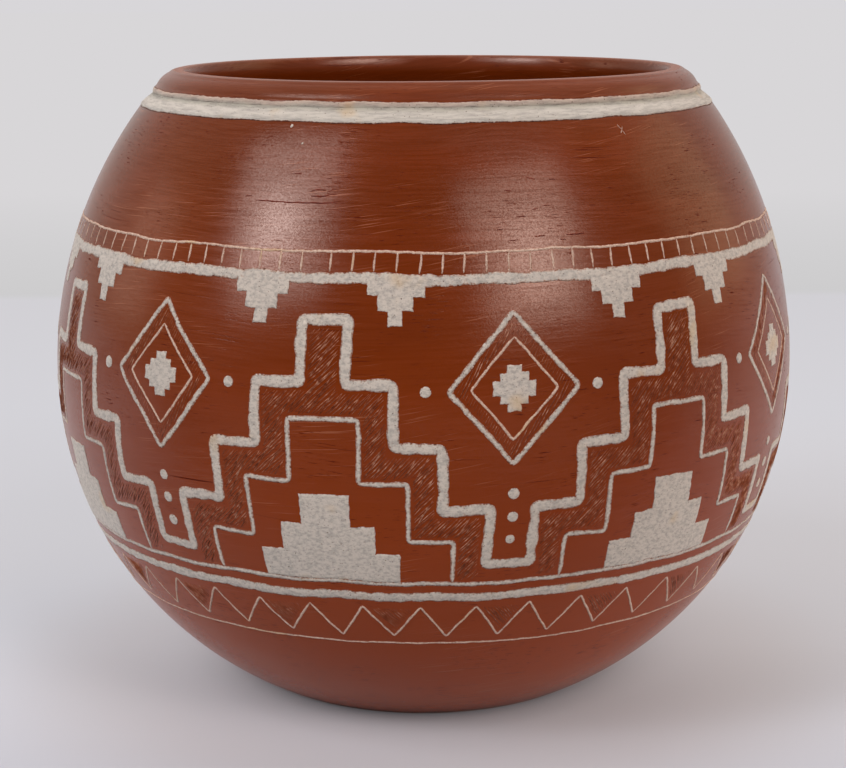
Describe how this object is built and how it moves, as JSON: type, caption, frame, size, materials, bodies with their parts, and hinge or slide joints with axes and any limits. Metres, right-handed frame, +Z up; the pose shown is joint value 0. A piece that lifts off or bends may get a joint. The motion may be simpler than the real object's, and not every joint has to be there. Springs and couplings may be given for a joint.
{
  "type": "clay pot",
  "caption": "Globular burnished redware pot, coil-built, with a closed-in shoulder, a rolled rim, a pale slip band in a groove under it and a flat foot.",
  "frame": {"origin": "middle of the flat foot, on the surface that the pot stands on", "axes": "+Z up the pot's axis towards the mouth; the pot is round about it, so X and Y are free, with -Y the side that the picture shows"},
  "size_m": [0.168, 0.168, 0.1393],
  "materials": {
    "red_slip": "satin",
    "pale_slip": "matte"
  },
  "bodies": {
    "root": {"base_bowl": "red_slip", "wall_coil_1": "red_slip", "wall_coil_2": "red_slip", "wall_coil_3": "red_slip", "wall_coil_4": "red_slip", "wall_coil_5": "red_slip", "neck_coil": "red_slip", "rim_coil": "red_slip", "slip_band": "pale_slip"}
  },
  "joints": []
}
